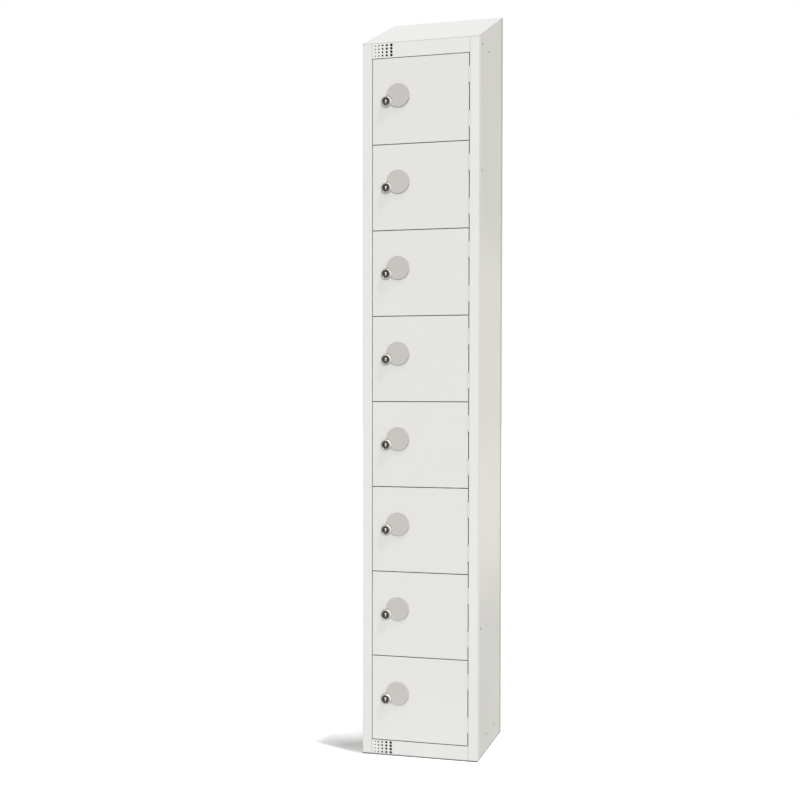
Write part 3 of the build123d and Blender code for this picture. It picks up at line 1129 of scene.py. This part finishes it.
def add_leaf(bm, middle):
    """One hinge leaf with its two rolled ears."""
    half = HINGE_LENGTH / 2
    inside, skin = POST_X + SHEET, FRONT_Y + SHEET
    back = FRONT_Y + LEAF_WIDTH
    gap = half - EAR_HEIGHT
    plate = rectangle(inside, skin + LEAF_SHEET + 0.4, inside + LEAF_SHEET, back)
    prism(bm, [plate], middle - gap, middle + gap)
    end = 2 * math.pi + math.asin(SHEET / KNUCKLE_RADIUS)
    outline = ring_points(KNUCKLE_RADIUS, 24, (HINGE_X, HINGE_Y), math.pi / 2, end)
    outline += [
        (inside + LEAF_SHEET, skin), (inside + LEAF_SHEET, back), (inside, back),
        (inside, HINGE_Y + KNUCKLE_RADIUS),
    ]
    bore = ring_points(PIN_RADIUS, 24, (HINGE_X, HINGE_Y))
    for low in (middle - half, middle + gap):
        prism(bm, [outline, bore], low, low + EAR_HEIGHT)


def add_pin(bm, middle):
    """One pin with rounded ends."""
    half, radius = HINGE_LENGTH / 2, PIN_RADIUS - 0.01
    low, high = middle - half, middle + half
    ends = ((0.0, 0.0), (radius - 0.4, 0.05), (radius - 0.1, 0.25), (radius, 0.5))
    profile = [(reach, low + inset) for reach, inset in ends]
    profile += [(reach, high - inset) for reach, inset in reversed(ends)]
    add_turned(bm, profile, 24, HINGE_LINE)


class LOCKER_OT_hinges(bpy.types.Operator):
    """Leaves with two rolled ears behind the right-hand post, and their pins"""

    bl_idname = "locker.hinges"
    bl_label = "Hinges"

    def execute(self, context):
        leaves, pins = bmesh.new(), bmesh.new()
        for number in range(1, DOORS + 1):
            for middle in hinge_heights(number):
                add_leaf(leaves, middle)
                add_pin(pins, middle)
        piece = add_piece(
            "hinge_leaves_rolled", leaves, "cabinet", "hinge_leaves", [body_coat_and_shade()]
        )
        soften(piece, 0.12)
        add_piece("hinge_pins_domed", pins, "cabinet", "hinge_pins", [zinc_plate()])
        return {"FINISHED"}


# Doors

class DoorByDoor:
    """Builds the pieces of one door after another."""

    def execute(self, context):
        for number in range(1, DOORS + 1):
            self.build(number)
        return {"FINISHED"}


def door_skin(number):
    """Outer face of a door: front, four returns and four lips."""
    low, high = door_span(number)
    front = [(x, FRONT_Y, z) for x, z in rectangle(-DOOR_X, low, DOOR_X, high)]
    rear = [(x, DOOR_REAR, z) for x, _, z in front]
    inner = [
        (x - math.copysign(DOOR_LIP, x), DOOR_REAR, z + (DOOR_LIP if z == low else -DOOR_LIP))
        for x, _, z in front
    ]
    bm = bmesh.new()
    rings = [[bm.verts.new(point) for point in ring] for ring in (front, rear, inner)]
    for near, far in zip(rings, rings[1:]):
        for i in range(4):
            bm.faces.new((near[i - 1], near[i], far[i], far[i - 1]))
    edges = [bm.edges.get((rings[0][i - 1], rings[0][i])) for i in range(4)]
    place = lock_frame(number).translation / MM
    hole = ring_points(BARREL_RADIUS + BARREL_FIT, 48)
    holes = [flattened(hole, BARREL_FLAT + BARREL_FIT)]
    holes += [square(PEG_X, height, PEG_HALF + PEG_FIT) for height in PEG_HEIGHTS]
    for points in holes:
        edges += add_ring(bm, [(place.x + x, FRONT_Y, place.z + z) for x, z in points])
    fill_skin(bm, edges, (0.0, -1.0, 0.0))
    folds = [bm.edges.get((ring[i - 1], ring[i])) for ring in rings[:2] for i in range(4)]
    bmesh.ops.bevel(bm, geom=folds, offset=DOOR_FOLD, segments=4, profile=0.5, affect="EDGES")
    edge = KNUCKLE_RADIUS + NOTCH_GAP
    reach = EAR_HEIGHT / 2 + KNUCKLE_GAP
    for z in hinge_heights(number):
        for side in (-1, 1):
            middle = z + side * (HINGE_LENGTH - EAR_HEIGHT) / 2
            low = (HINGE_X - edge, FRONT_Y - 0.1, middle - reach)
            cut_window(bm, low, (DOOR_X + 0.1, FRONT_Y + edge, middle + reach))
    return bm


def mark_edges(bm, number):
    """Gives the returns, which line the gaps round the door, the darker coat that paints the shade
    in the gaps.
    """
    low, high = door_span(number)
    for face in bm.faces:
        x, y, z = face.calc_center_median()
        above = number > 1 and z > high - 0.1
        if y > FRONT_Y + DOOR_FOLD and (x > DOOR_X - 0.1 or z < low + 0.1 or above):
            face.material_index = 1


def add_knuckle(bm, middle):
    """One knuckle of a door."""
    half = HINGE_LENGTH / 2 - EAR_HEIGHT - KNUCKLE_GAP
    low, high, radius = middle - half, middle + half, KNUCKLE_RADIUS
    profile = [
        (BORE_RADIUS, low), (BORE_RADIUS, high), (radius - 0.2, high), (radius, high - 0.2),
        (radius, low + 0.2), (radius - 0.2, low),
    ]
    add_turned(bm, profile, 40, HINGE_LINE, closed=True)


class LOCKER_OT_doors(DoorByDoor, bpy.types.Operator):
    """Folded doors with round hinge knuckles and a stiffening channel behind each"""

    bl_idname = "locker.doors"
    bl_label = "Doors"

    def build(self, number):
        dress_node(f"door_{number}_stiffener", door_paint())
        body, node = f"door_{number}", f"door_{number}_pan"
        solid = thickened(door_skin(number), SHEET)
        mark_edges(solid, number)
        paints = [door_paint(), door_gap_shade_paint()]
        soften(add_piece(node + "_folded", solid, body, node, paints), 0.2)
        bm = bmesh.new()
        for middle in hinge_heights(number):
            add_knuckle(bm, middle)
        add_piece(f"door_{number}_knuckles", bm, body, node, [door_paint()])


def plate_outline():
    """The plate's rim and the notch round the lock, whose circles cross twice."""
    reach = math.hypot(*DISC_PLACE)
    along = (reach * reach + DISC_NOTCH ** 2 - DISC_RADIUS ** 2) / (2 * reach)
    turn = math.acos(along / DISC_NOTCH)
    towards = math.atan2(DISC_PLACE[1], DISC_PLACE[0])
    far = math.atan2(math.sin(turn) * DISC_NOTCH, reach - math.cos(turn) * DISC_NOTCH)
    start, end = towards - math.pi + far, towards + math.pi - far
    rim = ring_points(DISC_RADIUS, 120, DISC_PLACE, start, end)
    notch = ring_points(DISC_NOTCH, 32, (0, 0), towards + turn, towards - turn)
    return rim + notch[1:-1]


class LOCKER_OT_discs(DoorByDoor, bpy.types.Operator):
    """Round plates with a rounded rim, cut away round the lock, with painted shade on the rim's
    downward faces
    """

    bl_idname = "locker.discs"
    bl_label = "Round Plates"

    def build(self, number):
        bm = bmesh.new()
        prism(bm, [plate_outline()], 0.0, DISC_THICKNESS)
        rim = [e for e in bm.edges if min(v.co.z for v in e.verts) > DISC_THICKNESS - 0.01]
        bmesh.ops.bevel(bm, geom=rim, offset=DISC_ROUND, segments=4, profile=0.5, affect="EDGES")
        bm.normal_update()
        for face in bm.faces:
            face.smooth = face.normal.z < 0.99
            # Faces looking down take the darker plastic: painted shade under the rim
            if face.normal.y < -0.2:
                face.material_index = 1
        for height in PEG_HEIGHTS:
            prism(bm, [square(PEG_X, height, PEG_HALF)], -SHEET - PEG_REACH, 0.0)
        piece = add_piece(
            f"door_{number}_plate", bm, f"door_{number}", f"door_{number}_disc",
            [disc_plastic(), disc_underside_shade()], lock_frame(number),
        )
        soften(piece, 0.1)


# Locks

def bezel_mesh():
    """Bezel and threaded barrel."""
    root = BARREL_RADIUS - THREAD_DEPTH
    profile = list(BEZEL)
    z = -SHEET
    while z > BARREL_END + THREAD_END:
        profile += [(BARREL_RADIUS, z, PLATED), (root, z - THREAD_PITCH / 2, PLATED)]
        z -= THREAD_PITCH
    profile.append((root, BARREL_END, PLATED))
    finishes = [finish for _, _, finish in profile]
    bm = bmesh.new()
    lathe(bm, [point[:2] for point in profile], 64, True, finishes, BARREL_FLAT)
    bmesh.ops.recalc_face_normals(bm, faces=bm.faces)
    sharpen(bm)
    return bm


def clip_mesh():
    """Spring clip."""
    inner = BARREL_FLAT - CLIP_BITE
    outline = [
        (-CLIP_X, -CLIP_Y), (CLIP_X, -CLIP_Y), (CLIP_X, CLIP_Y),
        (inner + 1.0, CLIP_Y), (inner, CLIP_MOUTH),
    ]
    outline += ring_points(inner, 16, (0, CLIP_BEND), 0.0, -math.pi)[1:-1]
    outline += [(-inner, CLIP_MOUTH), (-inner - 1.0, CLIP_Y), (-CLIP_X, CLIP_Y)]
    bm = bmesh.new()
    prism(bm, [outline], -SHEET - CLIP_SHEET, -SHEET)
    return bm


class LOCKER_OT_barrels(DoorByDoor, bpy.types.Operator):
    """Chromed bezel on a threaded barrel, with the spring clip behind the door's face"""

    bl_idname = "locker.barrels"
    bl_label = "Lock Barrels"

    def build(self, number):
        body, node, place = f"door_{number}", f"door_{number}_lock_barrel", lock_frame(number)
        finishes = [lock_chrome(), lock_black(), lock_rim()]
        add_piece(f"door_{number}_bezel", bezel_mesh(), body, node, finishes, place)
        name, finishes = f"door_{number}_clip", [zinc_plate()]
        soften(add_piece(name, clip_mesh(), body, node, finishes, place), 0.25)


class LOCKER_OT_plugs(DoorByDoor, bpy.types.Operator):
    """Plugs with a black face and a bright keyway"""

    bl_idname = "locker.plugs"
    bl_label = "Lock Plugs"

    def build(self, number):
        face, slot = ring_points(PLUG_RADIUS, 64), rectangle(*KEYWAY_SLOT)
        mouth = [*KEYWAY_MOUTH, *((-x, y) for x, y in reversed(KEYWAY_MOUTH))]
        bm = bmesh.new()
        prism(bm, [face, mouth], KEYWAY_FLOOR, PLUG_FACE, material=0)
        prism(bm, [face, slot], CAM_FRONT, KEYWAY_FLOOR, material=1)
        prism(bm, [mouth, slot], KEYWAY_FLOOR, KEYWAY_LEDGE, material=1)
        prism(bm, [square(0, 0, DRIVE_HALF)], CAM_BACK, CAM_FRONT, material=1)
        piece = add_piece(
            f"door_{number}_plug", bm, f"lock_{number}", f"door_{number}_lock_plug",
            [lock_black(), key_metal()], lock_frame(number),
        )
        soften(piece, 0.3, 2, CREASE_ANGLE)


def cam_mesh():
    """Cam with its square hole."""
    outline = ring_points(CAM_RADIUS, 32, (0, 0), 0.0, math.pi)
    outline += ring_points(CAM_RADIUS, 32, (0, CAM_RADIUS - CAM_REACH), math.pi, 2 * math.pi)
    bm = bmesh.new()
    prism(bm, [outline, square(0, 0, DRIVE_HALF)], CAM_BACK, CAM_FRONT)
    return bm


def screw_mesh():
    """Screw with its hexagonal head."""
    bm = bmesh.new()
    for radius, sides, start, end in SCREW:
        prism(bm, [ring_points(radius, sides)], CAM_BACK + start, CAM_BACK + end)
    return bm


class LOCKER_OT_cams(DoorByDoor, bpy.types.Operator):
    """Round-ended cams, each held by a hexagon-headed screw"""

    bl_idname = "locker.cams"
    bl_label = "Lock Cams"

    def build(self, number):
        for name, bm, width, segments in (
            ("cam", cam_mesh(), 0.3, 3), ("cam_screw", screw_mesh(), 0.2, 2)
        ):
            piece = add_piece(
                f"door_{number}_{name}", bm, f"lock_{number}", f"door_{number}_lock_cam",
                [zinc_plate()], lock_frame(number),
            )
            soften(piece, width, segments)


# Panel and registration

class LOCKER_PT_panel(bpy.types.Panel):
    """Locker pieces and settings"""

    bl_idname = "LOCKER_PT_panel"
    bl_label = "Locker"
    bl_space_type = "VIEW_3D"
    bl_region_type = "UI"
    bl_category = "Locker"

    def draw(self, context):
        for name, group in SETTINGS:
            column = self.layout.column(align=True)
            for setting in group.__annotations__:
                column.prop(getattr(context.scene, name), setting)
        column = self.layout.column(align=True)
        for operator in PIECE_OPERATORS:
            column.operator(operator.bl_idname)


PIECE_OPERATORS = (
    LOCKER_OT_stage,
    LOCKER_OT_body,
    LOCKER_OT_sides,
    LOCKER_OT_rails,
    LOCKER_OT_rivets,
    LOCKER_OT_hinges,
    LOCKER_OT_doors,
    LOCKER_OT_discs,
    LOCKER_OT_barrels,
    LOCKER_OT_plugs,
    LOCKER_OT_cams,
)
SETTINGS = (
    ("locker_paint", LockerPaint), ("locker_lock", LockerLock), ("locker_studio", LockerStudio),
)
CLASSES = (*(group for _, group in SETTINGS), *PIECE_OPERATORS, LOCKER_PT_panel)


def register():
    for item in CLASSES:
        bpy.utils.register_class(item)
    for name, group in SETTINGS:
        setattr(bpy.types.Scene, name, bpy.props.PointerProperty(type=group))


def unregister():
    for name, _ in SETTINGS:
        delattr(bpy.types.Scene, name)
    for item in reversed(CLASSES):
        bpy.utils.unregister_class(item)


def main():
    register()
    bpy.ops.locker.stage()
    bpy.ops.locker.body()
    bpy.ops.locker.sides()
    bpy.ops.locker.rails()
    bpy.ops.locker.rivets()
    bpy.ops.locker.hinges()
    bpy.ops.locker.doors()
    bpy.ops.locker.discs()
    bpy.ops.locker.barrels()
    bpy.ops.locker.plugs()
    bpy.ops.locker.cams()


if __name__ == "__main__":
    main()
